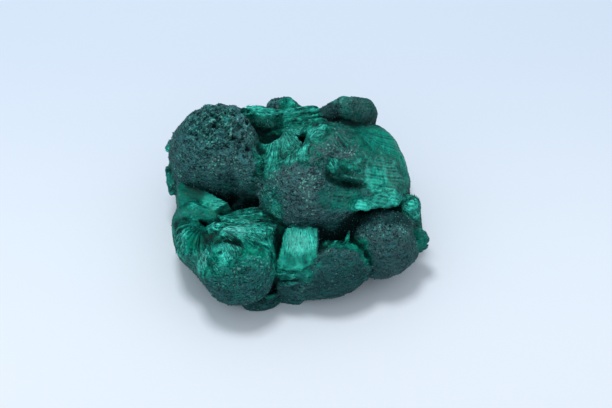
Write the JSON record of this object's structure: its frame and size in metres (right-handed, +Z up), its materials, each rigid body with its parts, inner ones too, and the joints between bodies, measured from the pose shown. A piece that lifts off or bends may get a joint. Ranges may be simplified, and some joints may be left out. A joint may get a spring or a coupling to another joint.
{
  "type": "malachite specimen",
  "caption": "Hand-size mineral specimen: rounded lobes of fibrous green malachite grown together in one mass that rests on its worn underside.",
  "frame": {"origin": "middle of the specimen's footprint, on the surface that it rests on", "axes": "+Z up, +X along the length of the specimen, +Y from the side with the small broken block to the side with the horn-like lobe"},
  "size_m": [0.065, 0.0542, 0.0284],
  "materials": {
    "malachite": "silky and fibrous where it is broken, with a darker, matt to velvety skin on the rounded lobes"
  },
  "bodies": {
    "root": {"malachite_mass": "malachite"}
  },
  "joints": []
}
